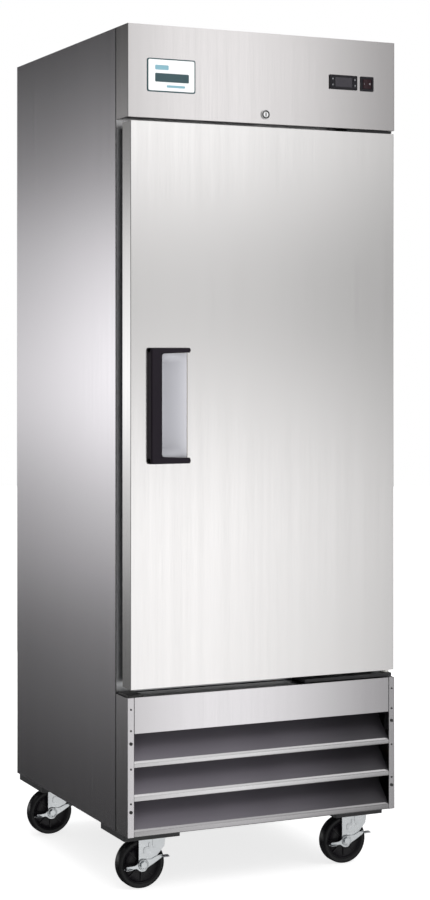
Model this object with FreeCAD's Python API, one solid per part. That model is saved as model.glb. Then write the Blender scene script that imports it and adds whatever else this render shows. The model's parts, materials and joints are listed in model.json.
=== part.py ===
"""Reach-in refrigerator: one solid door over a louvred machine compartment, on four swivel casters.

All sizes are in millimetres and are measured from the cabinet's front left corner on the floor, with X to
the right, Y to the back and Z up. save() moves each finished piece into the part's own frame, whose origin
is on the floor under the middle of the bounding box.
"""
import math
import os

import FreeCAD, Part

V = FreeCAD.Vector
X_AXIS = V(1, 0, 0)
Y_AXIS = V(0, 1, 0)
Z_AXIS = V(0, 0, 1)

# cabinet
WIDTH = 734.0
DEPTH = 806.0
HEIGHT = 2100.0
BODY_Z = 150.0          # underside of the cabinet
COVER_DEPTH = 76.0      # header cover and grille box, front to back
SEAM = 1.2              # open joint between their sides and the side panels
HEADER_Z = 1876.0       # underside of the header cover
LEDGE_Z = 485.0         # top of the grille box
SHEET = 1.2             # outer sheet steel
LINER = 0.8             # inner sheet
WALL = 50.0             # foamed wall with both its sheets

# storage space
OPEN_X0 = WALL
OPEN_X1 = WIDTH - WALL
OPEN_Z0 = 550.0
OPEN_Z1 = 1822.0
CEILING_Z = 2040.0
CAVITY_BACK = 746.0
FRAME_BACK = COVER_DEPTH + 2.0     # rear of the face frame around the opening
LINTEL_BACK = 128.0
SHELF_LEVELS = (800.0, 1140.0, 1480.0)

# door
DOOR_X0 = 5.0
DOOR_X1 = WIDTH - 5.0
DOOR_Z0 = 505.0
DOOR_Z1 = 1867.0
DOOR_FACE = -5.0
SHELL_BACK = 45.0
LIP = 15.0              # width of the lip round the back of the outer pan
GASKET_FRONT = 58.0
GASKET_BACK = 75.7
SKIN = 1.0
HINGE_X = WIDTH - 15.0
HINGE_Y = 22.0
LOW_LEAF_X = 480.0      # where the brackets' leaves begin
HIGH_LEAF_X = 600.0
PIN_R = 5.0
BUSH_R = 8.0
RUN = 0.05              # radial clearance of a running fit

# grip and the cup behind it
GRIP_X0 = 52.0
GRIP_X1 = 156.0
GRIP_Z0 = 1044.0
GRIP_Z1 = 1323.0
GRIP_BAR = 29.0         # width of the upright bar
GRIP_OUT = 20.0         # how far it stands out from the door
CUP_X0 = 60.0
CUP_X1 = 154.0
CUP_Z0 = 1058.0
CUP_Z1 = 1310.0
CUP_DEPTH = 20.0

# header fittings
BADGE = (50.0, 177.0, 1939.0, 2020.0)
CONTROLLER = (546.0, 624.0, 1973.0, 2009.0)
SWITCH = (634.5, 671.5, 1972.0, 2009.0)
LOCK_X = WIDTH / 2
LOCK_Z = 1899.0
PLUG_R = 8.0
CRANK = 9.0             # the crank pin's offset both across and up, a quarter turn apart
BOLT_Y = 28.0

# grille
STILE = 17.0
GRILLE_PLATE_Z = 398.0
BLADE_LIPS = ((316.0, 327.0), (235.0, 247.0))
BOTTOM_LIP = (BODY_Z, 163.0)
BLADE_RUN = 73.5        # how far a blade leans back, and rises
SCREW_LEVELS = (375.0, 211.0)
RIVET_LEVELS = (457.0, 406.0, 314.0, 231.0)

# casters
WHEEL_R = 61.0
WHEEL_W = 32.0
TRAIL = 28.0
REAR_CASTER_X = (85.0, 649.0)      # swivel axes
FRONT_CASTER_X = (101.0, 665.0)
REAR_CASTER_Y = 704.0
FRONT_CASTER_Y = 102.0
AXLE_R = 5.0
LEG_IN = 19.0           # inside face of a fork leg from the wheel's middle
LEG_T = 3.0
CROWN_Z = 123.5
PLATE_Z = 133.0
BLOCK_Z = 136.0

WHEEL_OVERHANG = WHEEL_R + TRAIL - REAR_CASTER_X[0]
TOTAL_DEPTH = DEPTH - DOOR_FACE + GRIP_OUT
TO_FRAME = V(-(WIDTH - WHEEL_OVERHANG) / 2, TOTAL_DEPTH / 2 - DEPTH, 0)


def block(x0, x1, y0, y1, z0, z1):
    return Part.makeBox(x1 - x0, y1 - y0, z1 - z0, V(x0, y0, z0))


def rod(start, direction, length, radius):
    return Part.makeCylinder(radius, length, start, direction)


def ring(start, direction, length, outer, inner):
    return rod(start, direction, length, outer).cut(rod(start, direction, length, inner))


def across_y(points, y0, y1):
    """A prism along Y with the outline points (x, z)."""
    wire = Part.makePolygon([V(x, y0, z) for x, z in points + points[:1]])
    return Part.Face(wire).extrude(V(0, y1 - y0, 0))


def across_x(points, x0, x1):
    """A prism along X with the outline points (y, z)."""
    wire = Part.makePolygon([V(x0, y, z) for y, z in points + points[:1]])
    return Part.Face(wire).extrude(V(x1 - x0, 0, 0))


def across_z(points, z0, z1):
    """A prism along Z with the outline points (x, y)."""
    wire = Part.makePolygon([V(x, y, z0) for x, y in points + points[:1]])
    return Part.Face(wire).extrude(V(0, 0, z1 - z0))


def rounded(shape, radius, axis, keep=lambda edge: True):
    """Fillet the straight edges that run along an axis."""
    edges = []
    for edge in shape.Edges:
        if not isinstance(edge.Curve, Part.Line):
            continue
        along = edge.tangentAt(edge.FirstParameter)
        if abs(abs(along.dot(axis)) - 1) < 1e-6 and keep(edge):
            edges.append(edge)
    return shape.makeFillet(radius, edges)


def joined(shapes):
    return shapes[0].multiFuse(shapes[1:]).removeSplitter()


def without(shape, tools):
    return shape.cut(Part.makeCompound(tools))


def save(name, solids):
    """Write one node, as one solid or as a group of them, in the part's own frame."""
    group = solids[0] if len(solids) == 1 else Part.makeCompound(solids)
    moved = group.copy()
    moved.translate(TO_FRAME)
    moved.exportStep("parts/" + name + ".step")


def pipe(points, radius, bend):
    """A tube of straight runs joined by tangent arcs."""
    edges = []
    at = points[0]
    for before, corner, after in zip(points, points[1:], points[2:]):
        come = (corner - before).normalize()
        go = (after - corner).normalize()
        turn = come.getAngle(go)
        back = bend * math.tan(turn / 2)
        start = corner - come * back
        end = corner + go * back
        middle_way = (go - come).normalize()
        centre = corner + middle_way * (bend / math.cos(turn / 2))
        middle = centre - middle_way * bend
        edges.append(Part.LineSegment(at, start).toShape())
        edges.append(Part.Arc(start, middle, end).toShape())
        at = end
    edges.append(Part.LineSegment(at, points[-1]).toShape())
    section = Part.Wire(Part.makeCircle(radius, points[0], points[1] - points[0]))
    return Part.Wire(edges).makePipeShell([section], True, False)


def fin_block(x0, x1, y0, y1, z0, z1, pitch):
    """A finned heat exchanger: a solid core with fins standing out of it."""
    inset = 6.0
    pieces = [block(x0, x1, y0 + inset, y1 - inset, z0 + inset, z1 - inset)]
    count = int((x1 - x0) / pitch)
    for i in range(count + 1):
        x = x0 + (x1 - x0 - 1.0) * i / count
        pieces.append(block(x, x + 1.0, y0, y1, z0, z1))
    return joined(pieces)


def fan(centre, radius, hub_r, depth, blades):
    """A fan that turns about Y: a hub and pitched blades."""
    pieces = [rod(centre - Y_AXIS * depth / 2, Y_AXIS, depth, hub_r)]
    for i in range(blades):
        blade = Part.makeBox(radius - hub_r + 3, 1.6, 0.9 * radius)
        blade.translate(V(hub_r - 3, -0.8, -0.45 * radius))
        blade = rounded(blade, 0.2 * radius, Y_AXIS)
        blade.rotate(V(0, 0, 0), X_AXIS, 28)
        blade.rotate(V(0, 0, 0), Y_AXIS, 360.0 * i / blades)
        blade.translate(centre)
        pieces.append(blade)
    sweep = rod(centre - Y_AXIS * radius, Y_AXIS, 2 * radius, radius)
    return joined(pieces).common(sweep)


# ---------------------------------------------------------------- cabinet

def side_panels():
    left = block(0, SHEET, COVER_DEPTH, DEPTH - SHEET, BODY_Z, HEIGHT)
    right = block(WIDTH - SHEET, WIDTH, COVER_DEPTH, DEPTH - SHEET, BODY_Z, HEIGHT)
    save("left_side_panel", [left])
    save("right_side_panel", [right])


def back_and_top_panel():
    back = block(0, WIDTH, DEPTH - SHEET, DEPTH, LEDGE_Z, HEIGHT)
    top = block(SHEET, WIDTH - SHEET, COVER_DEPTH, DEPTH - SHEET, HEIGHT - SHEET, HEIGHT)
    save("back_and_top_panel", [back, top])


def caster_places():
    """Names and swivel axes of the four casters."""
    places = []
    for end, across, y in (("front", FRONT_CASTER_X, FRONT_CASTER_Y), ("rear", REAR_CASTER_X, REAR_CASTER_Y)):
        for x, side in zip(across, ("_left", "_right")):
            places.append((end + side, V(x, y, 0)))
    return places


def base_frame():
    """Bottom pan, the deck under the storage space, and a black block over each caster, out to the sides."""
    pieces = [
        block(SHEET, WIDTH - SHEET, COVER_DEPTH, DEPTH - SHEET, BODY_Z, BODY_Z + 1.5),
        block(SHEET, WIDTH - SHEET, COVER_DEPTH, DEPTH - SHEET, LEDGE_Z + 0.5, LEDGE_Z + 2),
    ]
    reach = {
        "front_left": (FRONT_CASTER_X[0], 47.0),
        "front_right": (90.0, 47.0),
        "rear_left": (REAR_CASTER_X[0], 61.0),
        "rear_right": (61.0, WIDTH - REAR_CASTER_X[1]),
    }
    for name, axis in caster_places():
        left, right = reach[name]
        y0, y1 = (22.0, 180.0) if name.startswith("front") else (600.0, 788.0)
        slab = block(axis.x - left, axis.x + right, y0, y1, BLOCK_Z, BODY_Z)
        pieces.append(rounded(slab, 6, Z_AXIS))
    save("base_frame", pieces)


def insulation():
    """Foam slabs of the side walls, back, ceiling, floor and the lintel over the door opening."""
    x0 = WALL - LINER
    x1 = WIDTH - x0
    foam_z0 = LEDGE_Z + 2
    foam_z1 = HEIGHT - SHEET
    back = DEPTH - SHEET
    slabs = [
        block(SHEET, x0, FRAME_BACK, back, foam_z0, foam_z1),
        block(x1, WIDTH - SHEET, FRAME_BACK, back, foam_z0, foam_z1),
        block(x0, x1, CAVITY_BACK + LINER, back, foam_z0, foam_z1),
        block(x0, x1, FRAME_BACK, CAVITY_BACK + LINER, CEILING_Z + LINER, foam_z1),
        block(x0, x1, FRAME_BACK, CAVITY_BACK + LINER, foam_z0, OPEN_Z0 - LINER),
        block(WALL, WIDTH - WALL, FRAME_BACK, LINTEL_BACK - LINER, OPEN_Z1 + LINER, CEILING_Z + LINER),
    ]
    save("insulation_slabs", slabs)


def inner_liner():
    """Liner sheets around the storage space and the face frame that the gasket seals on."""
    x0 = WALL
    x1 = WIDTH - WALL
    bottom = OPEN_Z0
    sheets = [
        block(x0 - LINER, x0, FRAME_BACK, CAVITY_BACK, bottom, CEILING_Z),
        block(x1, x1 + LINER, FRAME_BACK, CAVITY_BACK, bottom, CEILING_Z),
        block(x0 - LINER, x1 + LINER, CAVITY_BACK, CAVITY_BACK + LINER, bottom - LINER, CEILING_Z + LINER),
        block(x0 - LINER, x1 + LINER, FRAME_BACK, CAVITY_BACK, bottom - LINER, bottom),
        block(x0 - LINER, x1 + LINER, LINTEL_BACK, CAVITY_BACK, CEILING_Z, CEILING_Z + LINER),
        block(x0, x1, FRAME_BACK, LINTEL_BACK, OPEN_Z1, OPEN_Z1 + LINER),
        block(x0, x1, LINTEL_BACK - LINER, LINTEL_BACK, OPEN_Z1 + LINER, CEILING_Z),
    ]
    frame_z0 = LEDGE_Z + 2
    bars = [
        block(SHEET, x0, COVER_DEPTH, FRAME_BACK, frame_z0, HEADER_Z),
        block(x1, WIDTH - SHEET, COVER_DEPTH, FRAME_BACK, frame_z0, HEADER_Z),
        block(x0, x1, COVER_DEPTH, FRAME_BACK, frame_z0, OPEN_Z0),
        block(x0, x1, COVER_DEPTH, FRAME_BACK, OPEN_Z1, HEADER_Z),
    ]
    save("inner_liner", sheets + bars)


# ---------------------------------------------------------------- header

def header_cover():
    """Folded cover, open at the back, with cut-outs for the controller, switch and lock."""
    shell = block(0, WIDTH, 0, COVER_DEPTH, HEADER_Z, HEIGHT)
    shell = rounded(shell, 2.0, Z_AXIS, lambda edge: edge.Vertexes[0].Y < 1)
    hollow = block(SHEET, WIDTH - SHEET, SHEET, COVER_DEPTH, HEADER_Z + SHEET, HEIGHT - SHEET)
    cuts = [hollow]
    for x in (0, WIDTH - SHEET):
        cuts.append(block(x, x + SHEET, COVER_DEPTH - SEAM, COVER_DEPTH, HEADER_Z, HEIGHT - SHEET))
    for x0, x1, z0, z1 in (CONTROLLER, SWITCH):
        cuts.append(block(x0 + 5, x1 - 5, -1, 5, z0 + 4, z1 - 4))
    cuts.append(rod(V(LOCK_X, -1, LOCK_Z), Y_AXIS, 5, PLUG_R + 2))
    cuts.append(block(LOCK_X - 8, LOCK_X + 8, BOLT_Y - 1.5, BOLT_Y + 4.5, HEADER_Z - 1, HEADER_Z + 5))
    save("header_cover", [without(shell, cuts)])


def header_badge():
    """Plain blank plate with a raised rim."""
    x0, x1, z0, z1 = BADGE
    plate = rounded(block(x0, x1, -2.4, 0, z0, z1), 6, Y_AXIS)
    well = rounded(block(x0 + 3, x1 - 3, -2.4, -1.6, z0 + 3, z1 - 3), 4, Y_AXIS)
    save("header_badge", [plate.cut(well)])


def key_places():
    x0, x1, z0, z1 = CONTROLLER
    left = x0 + 7.5
    right = x1 - 7.5
    low = z0 + 10.5
    high = z1 - 10.5
    return {
        "key_upper_left": (left, high),
        "key_lower_left": (left, low),
        "key_upper_right": (right, high),
        "key_lower_right": (right, low),
    }


def controller():
    """Digital thermostat: case, display window and four short-travel keys."""
    x0, x1, z0, z1 = CONTROLLER
    case = joined([
        rounded(block(x0, x1, -4, 0, z0, z1), 2, Y_AXIS),
        block(x0 + 5, x1 - 5, 0, 55, z0 + 4, z1 - 4),
    ])
    key_x, key_z, play = 3.0, 4.0, 0.35
    pockets = [block(x0 + 14, x1 - 14, -4, -2.6, z0 + 5, z1 - 5)]
    for name, (x, z) in key_places().items():
        pockets.append(block(x - key_x - play, x + key_x + play, -4, 0, z - key_z - play, z + key_z + play))
        key = block(x - key_x, x + key_x, -5.2, -1.1, z - key_z, z + key_z)
        save(name, [rounded(key, 0.8, Y_AXIS)])
    save("controller_case", [without(case, pockets)])
    save("controller_window", [block(x0 + 14, x1 - 14, -3.9, -2.6, z0 + 5, z1 - 5)])


def rocker_switch():
    """Mains switch: the rocker tips left and right about an upright pin line."""
    x0, x1, z0, z1 = SWITCH
    pivot = V((x0 + x1) / 2, 4.0, (z0 + z1) / 2)
    case = joined([
        rounded(block(x0, x1, -3, 0, z0, z1), 2, Y_AXIS),
        block(x0 + 5, x1 - 5, 0, 30, z0 + 4, z1 - 4),
    ])
    half_z = 12.0
    well = block(pivot.x - 13, pivot.x + 13, -4, 11, pivot.z - half_z - 0.4, pivot.z + half_z + 0.4)
    save("rocker_switch_case", [case.cut(well)])
    outline = [(-11, -9.5), (0, -6.5), (11, -9.5), (11, -1), (0, 4), (-11, -1)]
    points = [(pivot.x + x, pivot.y + y) for x, y in outline]
    paddle = across_z(points, pivot.z - half_z, pivot.z + half_z)
    paddle.rotate(pivot, Z_AXIS, -8)
    save("rocker_paddle", [paddle])


def door_lock():
    """Key plug with a crank that drives a bolt down into the top of the door."""
    face = V(LOCK_X, -3, LOCK_Z)
    bezel = joined([
        ring(face, Y_AXIS, 3, 12, PLUG_R + RUN),
        ring(V(LOCK_X, 0, LOCK_Z), Y_AXIS, 20, PLUG_R + 2, PLUG_R + RUN),
    ])
    guide_top = HEADER_Z + 5.5
    guides = [
        block(LOCK_X - 11, LOCK_X - 7.5, BOLT_Y, BOLT_Y + 3, HEADER_Z + SHEET, guide_top),
        block(LOCK_X + 7.5, LOCK_X + 11, BOLT_Y, BOLT_Y + 3, HEADER_Z + SHEET, guide_top),
    ]
    save("lock_housing", [bezel] + guides)
    key_slot = block(LOCK_X - 1, LOCK_X + 1, -6, 1, LOCK_Z - 4.5, LOCK_Z + 4.5)
    plug = rod(V(LOCK_X, -3.6, LOCK_Z), Y_AXIS, 27.6, PLUG_R).cut(key_slot)
    crank = joined([
        plug,
        rod(V(LOCK_X, 21, LOCK_Z), Y_AXIS, 5, 17),
        rod(V(LOCK_X + CRANK, 26, LOCK_Z + CRANK), Y_AXIS, 7, 2.5),
    ])
    save("lock_barrel", [crank])
    slot_half = 3.2
    plate = block(LOCK_X - 10, LOCK_X + 22, BOLT_Y, BOLT_Y + 3, LOCK_Z + 1, LOCK_Z + CRANK + 8)
    slot = block(LOCK_X + 5.5, LOCK_X + 17, BOLT_Y, BOLT_Y + 3,
                 LOCK_Z + CRANK - slot_half, LOCK_Z + CRANK + slot_half)
    tongue = block(LOCK_X - 7, LOCK_X + 7, BOLT_Y, BOLT_Y + 3, HEADER_Z + 2.5, LOCK_Z + 1)
    save("lock_bolt", [joined([plate.cut(slot), tongue])])


# ---------------------------------------------------------------- door

def door_strike():
    """Pocket in the door's top edge that takes the lock bolt."""
    return block(LOCK_X - 9, LOCK_X + 9, BOLT_Y - 2, BOLT_Y + 5, DOOR_Z1 - 12, DOOR_Z1 + 1)


def bush_holes():
    low = rod(V(HINGE_X, HINGE_Y, DOOR_Z0 - 1), Z_AXIS, 31, BUSH_R)
    high = rod(V(HINGE_X, HINGE_Y, DOOR_Z1 - 30), Z_AXIS, 31, BUSH_R)
    return [low, high]


def inside_lip(y0):
    """The opening left by the lip round the door's back, from y0 back."""
    return block(DOOR_X0 + LIP, DOOR_X1 - LIP, y0, SHELL_BACK, DOOR_Z0 + LIP, DOOR_Z1 - LIP)


def door_shell():
    """Outer pan of the door with a lip round its back, cut out for the cup, the bushes and the lock bolt."""
    shell = block(DOOR_X0, DOOR_X1, DOOR_FACE, SHELL_BACK, DOOR_Z0, DOOR_Z1)
    shell = rounded(shell, 2.0, Z_AXIS, lambda edge: edge.Vertexes[0].Y < 0)
    front = DOOR_FACE + SKIN
    back = SHELL_BACK - SKIN
    hollow = block(DOOR_X0 + SKIN, DOOR_X1 - SKIN, front, back, DOOR_Z0 + SKIN, DOOR_Z1 - SKIN)
    window = block(CUP_X0, CUP_X1, DOOR_FACE - 1, 0, CUP_Z0, CUP_Z1)
    save("door_outer_skin", [without(shell, [hollow, inside_lip(back), window, door_strike()] + bush_holes())])


def door_foam():
    """Foam slabs that leave the cup's space free."""
    x0 = DOOR_X0 + SKIN
    x1 = DOOR_X1 - SKIN
    front = DOOR_FACE + SKIN
    cup_back = DOOR_FACE + CUP_DEPTH
    z0 = DOOR_Z0 + SKIN
    z1 = DOOR_Z1 - SKIN
    back = SHELL_BACK - SKIN
    holes = bush_holes() + [door_strike()]
    slabs = [
        block(x0, x1, front, back, z0, CUP_Z0),
        block(x0, x1, front, back, CUP_Z1, z1),
        block(x0, CUP_X0, front, back, CUP_Z0, CUP_Z1),
        block(CUP_X1, x1, front, back, CUP_Z0, CUP_Z1),
        block(CUP_X0, CUP_X1, cup_back, back, CUP_Z0, CUP_Z1),
    ]
    save("door_foam", [without(slab, holes) for slab in slabs])


def door_inner_liner():
    """Inner pan with a shallow raised panel inside the gasket. It fills the opening in the outer pan's lip."""
    flange = block(DOOR_X0 + 9, DOOR_X1 - 9, SHELL_BACK, GASKET_FRONT, DOOR_Z0 + 9, DOOR_Z1 - 9)
    flange = joined([flange, inside_lip(SHELL_BACK - SKIN).cut(door_strike())])
    raised = block(DOOR_X0 + 40, DOOR_X1 - 40, GASKET_FRONT, GASKET_FRONT + 12, DOOR_Z0 + 42, DOOR_Z1 - 42)
    raised = rounded(raised, 14, Y_AXIS)
    save("door_inner_liner", [flange, raised])


def door_gasket():
    """Magnetic gasket: four lengths, welded at the corners."""
    x0 = DOOR_X0 + 12
    x1 = DOOR_X1 - 12
    z0 = DOOR_Z0 + 12
    z1 = DOOR_Z1 - 12
    wide = 22.0
    lengths = [
        block(x0, x0 + wide, GASKET_FRONT, GASKET_BACK, z0, z1),
        block(x1 - wide, x1, GASKET_FRONT, GASKET_BACK, z0, z1),
        block(x0 + wide, x1 - wide, GASKET_FRONT, GASKET_BACK, z0, z0 + wide),
        block(x0 + wide, x1 - wide, GASKET_FRONT, GASKET_BACK, z1 - wide, z1),
    ]
    save("door_gasket", lengths)


def door_grip():
    """Black pull: an upright bar with an arm at each end, open to the right for the fingers."""
    front = DOOR_FACE - GRIP_OUT
    top_arm = 14.0
    bottom_arm = 17.0
    body = rounded(block(GRIP_X0, GRIP_X1, front, DOOR_FACE, GRIP_Z0, GRIP_Z1), 3, Y_AXIS)
    mouth = block(GRIP_X0 + GRIP_BAR, GRIP_X1 + 1, front - 1, DOOR_FACE,
                  GRIP_Z0 + bottom_arm, GRIP_Z1 - top_arm)
    mouth = rounded(mouth, 5, Y_AXIS, lambda edge: edge.Vertexes[0].X < GRIP_X1)
    behind = block(GRIP_X0 + 8, GRIP_X0 + GRIP_BAR + 1, front + 6, DOOR_FACE,
                   GRIP_Z0 + bottom_arm, GRIP_Z1 - top_arm)
    save("door_handle", [without(body, [mouth, behind])])


def handle_cup():
    """Pressed tray let into the door behind the grip."""
    t = 1.2
    outer = block(CUP_X0, CUP_X1, DOOR_FACE, DOOR_FACE + CUP_DEPTH, CUP_Z0, CUP_Z1)
    inner = block(CUP_X0 + t, CUP_X1 - t, DOOR_FACE - 1, DOOR_FACE + CUP_DEPTH - t, CUP_Z0 + t, CUP_Z1 - t)
    save("handle_cup", [outer.cut(rounded(inner, 5, Y_AXIS))])


def hinges():
    """Fixed brackets with their pins, and the bushes in the door."""
    x0 = HINGE_X - 60
    x1 = WIDTH - 3
    top_z = DOOR_Z1 + 3
    low_plate = rounded(block(LOW_LEAF_X, x1, HINGE_Y - 14, COVER_DEPTH, LEDGE_Z + 2, LEDGE_Z + 10), 4, Z_AXIS,
                        lambda edge: edge.Vertexes[0].Y < COVER_DEPTH - 1)
    high_plate = rounded(block(HIGH_LEAF_X, x1, HINGE_Y - 14, COVER_DEPTH, top_z, top_z + 5), 4, Z_AXIS,
                         lambda edge: edge.Vertexes[0].Y < COVER_DEPTH - 1)
    low_pin = rod(V(HINGE_X, HINGE_Y, LEDGE_Z + 10), Z_AXIS, 36, PIN_R)
    high_pin = rod(V(HINGE_X, HINGE_Y, DOOR_Z1 - 24), Z_AXIS, 24 + 3, PIN_R)
    screws = []
    for x in (x0 + 12, x0 + 32):
        screws.append(rod(V(x, 56, LEDGE_Z + 10), Z_AXIS, 3, 6))
    save("hinge_brackets", [joined([low_plate, low_pin] + screws), joined([high_plate, high_pin])])
    bushes = []
    for z, flange_z, flange_t in ((DOOR_Z0, LEDGE_Z + 11, DOOR_Z0 - LEDGE_Z - 11), (DOOR_Z1 - 30, DOOR_Z1, 2.4)):
        sleeve = rod(V(HINGE_X, HINGE_Y, z), Z_AXIS, 30, BUSH_R)
        flange = rod(V(HINGE_X, HINGE_Y, flange_z), Z_AXIS, flange_t, BUSH_R + 1)
        bore = rod(V(HINGE_X, HINGE_Y, min(z, flange_z) - 1), Z_AXIS, 60, PIN_R + RUN)
        bushes.append(joined([sleeve, flange]).cut(bore))
    save("hinge_bushes", bushes)


# ---------------------------------------------------------------- grille box

def grille_stiles():
    """Folded uprights at both ends of the grille box."""
    top = LEDGE_Z - SHEET
    pieces = []
    for x0, x1, face_x0 in ((0, SHEET, 0), (WIDTH - SHEET, WIDTH, WIDTH - STILE)):
        side = block(x0, x1, 0, COVER_DEPTH - SEAM, BODY_Z, top)
        face = block(face_x0, face_x0 + STILE, 0, SHEET, BODY_Z, top)
        pieces.append(joined([side, face]))
    save("grille_side_stiles", pieces)


def grille_top_plate():
    """Plain plate over the louvres, folded back as the ledge under the door."""
    face = block(STILE, WIDTH - STILE, 0, SHEET, GRILLE_PLATE_Z, LEDGE_Z - SHEET)
    ledge = block(0, WIDTH, 0, COVER_DEPTH, LEDGE_Z - SHEET, LEDGE_Z)
    hem = block(STILE, WIDTH - STILE, SHEET, 12, GRILLE_PLATE_Z, GRILLE_PLATE_Z + SHEET)
    save("grille_top_plate", [joined([face, ledge, hem])])


def blade(lip_z0, lip_z1, foot=False):
    """One louvre blade: an upright lip in front and a sheet that leans back and up."""
    t = SHEET
    slant = t * math.sqrt(0.5)
    profile = [
        (0, lip_z0),
        (0, lip_z1),
        (BLADE_RUN, lip_z1 + BLADE_RUN),
        (BLADE_RUN + slant, lip_z1 + BLADE_RUN - slant),
        (t, lip_z1 - 0.4 * t),
    ]
    if foot:
        profile += [(t, lip_z0 + t), (COVER_DEPTH, lip_z0 + t), (COVER_DEPTH, lip_z0)]
    else:
        profile += [(t, lip_z0)]
    return across_x(profile, STILE, WIDTH - STILE)


def grille_blades():
    blades = [blade(z0, z1) for z0, z1 in BLADE_LIPS]
    save("grille_blades", blades + [blade(BOTTOM_LIP[0], BOTTOM_LIP[1], foot=True)])


def grille_fasteners():
    """Black screw heads, rivet heads, and the cap over the unused hinge place on the ledge."""
    pieces = []
    for x in (STILE / 2, WIDTH - STILE / 2):
        for z in SCREW_LEVELS:
            head = rod(V(x, -2, z), Y_AXIS, 2, 4)
            drive = block(x - 2.2, x + 2.2, -2, -1.2, z - 0.5, z + 0.5)
            pieces.append(head.cut(drive))
        for z in RIVET_LEVELS:
            pieces.append(rod(V(x, -0.9, z), Y_AXIS, 0.9, 2.4))
    cap = block(3, 43, 4, 70, LEDGE_Z, LEDGE_Z + 5)
    pieces.append(rounded(cap, 4, Z_AXIS))
    save("grille_screws_and_cap", pieces)


def rear_grille():
    """Louvred service cover of the machine compartment, set in a little."""
    y0 = DEPTH - 6
    plate = block(SHEET, WIDTH - SHEET, y0, y0 + SHEET, BODY_Z + 1.5, LEDGE_Z + 0.5)
    slots = []
    for row in range(9):
        z = BODY_Z + 60 + row * 24
        for x in (60, 270, 480):
            slots.append(block(x, x + 190, y0 - 1, y0 + 3, z, z + 8))
    gland_x = GLAND[0]
    gland_z = GLAND[1]
    slots.append(rod(V(gland_x, y0 - 1, gland_z), Y_AXIS, 4, 10))
    save("rear_service_grille", [without(plate, slots)])


# ---------------------------------------------------------------- inside the storage space

def shelf_supports():
    """Slotted uprights in the corners and the clips hooked in them."""
    pieces = []
    depth = 3.0
    for x, inward in ((OPEN_X0, 1), (OPEN_X1, -1)):
        for y in (150.0, 690.0):
            x0, x1 = sorted((x, x + inward * depth))
            strip = block(x0, x1, y - 10, y + 10, 590, 1800)
            slots = [block(x0 - 1, x1 + 1, y - 4, y + 4, z, z + 6) for z in range(610, 1790, 34)]
            pieces.append(without(strip, slots))
            for level in SHELF_LEVELS:
                c0, c1 = sorted((x + inward * depth, x + inward * (depth + 9)))
                hook = block(c0, c1, y - 7, y + 7, level - 14, level - 8)
                pieces.append(hook)
    save("shelf_supports", pieces)


def wire_shelves():
    """Coated wire shelves: wires running front to back over cross bars inside a rim."""
    x0 = OPEN_X0 + 6
    x1 = OPEN_X1 - 6
    y0 = 100.0
    y1 = 730.0
    wire_r = 2.0
    rim = 8.0
    pieces = []
    for level in SHELF_LEVELS:
        low = level - rim
        pieces.append(block(x0, x0 + rim, y0, y1, low, level))
        pieces.append(block(x1 - rim, x1, y0, y1, low, level))
        for y in (y0, y0 + 205, y0 + 415, y1 - rim):
            pieces.append(block(x0 + rim, x1 - rim, y, y + rim, low, low + 4))
        count = 24
        for i in range(count):
            x = x0 + rim + (x1 - x0 - 2 * rim) * (i + 0.5) / count
            pieces.append(rod(V(x, y0, low + 4 + wire_r), Y_AXIS, y1 - y0, wire_r))
    save("wire_shelves", pieces)


def evaporator():
    """Cooling unit under the ceiling: housing, coil, fan and lamp."""
    x0, x1, y0, y1, z0 = 110.0, 624.0, 330.0, 742.0, 1880.0
    t = 1.2
    centre = V(WIDTH / 2, y0 + 16, 1960)
    fan_r = 62.0
    housing = joined([
        block(x0, x1, y0, y0 + t, z0, CEILING_Z),
        block(x0, x1, y0, y1, z0, z0 + t),
        block(x0, x0 + t, y0, y1, z0, CEILING_Z),
        block(x1 - t, x1, y0, y1, z0, CEILING_Z),
    ])
    save("evaporator_housing", [housing.cut(rod(V(centre.x, y0 - 1, centre.z), Y_AXIS, 4, fan_r + 5))])
    save("evaporator_coil", [fin_block(x0 + 20, x1 - 20, 470, 700, z0 + 12, CEILING_Z - 8, 14)])
    save("evaporator_fan", [fan(centre, fan_r, 20, 14, 5)])
    lamp = joined([
        block(LOCK_X - 90, LOCK_X + 90, 200, 250, CEILING_Z - 6, CEILING_Z),
        rounded(block(LOCK_X - 84, LOCK_X + 84, 206, 244, CEILING_Z - 22, CEILING_Z - 6), 5, X_AXIS,
                lambda edge: edge.Vertexes[0].Z < CEILING_Z - 10),
    ])
    save("interior_lamp", [lamp])
    return centre


# ---------------------------------------------------------------- machine compartment

CONDENSER_FAN = V(255, 196, 305)
CONDENSER_FAN_R = 104.0
GLAND = (650.0, 190.0)
PAN_TOP = BODY_Z + 1.5


def condenser():
    save("condenser_coil", [fin_block(95, 415, 96, 156, PAN_TOP + 12, 445, 9)])
    face = block(95, 415, 158, 160, PAN_TOP, 445)
    throat = ring(V(CONDENSER_FAN.x, 160, CONDENSER_FAN.z), Y_AXIS, 24, CONDENSER_FAN_R + 5, CONDENSER_FAN_R + 3)
    hole = rod(V(CONDENSER_FAN.x, 150, CONDENSER_FAN.z), Y_AXIS, 20, CONDENSER_FAN_R + 3)
    save("condenser_fan_shroud", [joined([face.cut(hole), throat])])
    save("condenser_fan", [fan(CONDENSER_FAN, CONDENSER_FAN_R, 24, 18, 5)])


def fan_motors(evaporator_fan):
    """Both fan motors, each on a cross bracket behind its fan."""
    pieces = []
    for centre, gap, radius, length, reach in (
        (CONDENSER_FAN, 10, 38, 62, 118),
        (evaporator_fan, 8, 26, 44, 78),
    ):
        start = centre + Y_AXIS * gap
        can = rod(start + Y_AXIS * 8, Y_AXIS, length, radius)
        shaft = rod(start, Y_AXIS, 12, 4)
        strap = block(centre.x - reach, centre.x + reach, start.y + 20, start.y + 23, centre.z - 9, centre.z + 9)
        pieces.append(joined([can, shaft, strap]))
    save("fan_motors", pieces)


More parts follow.
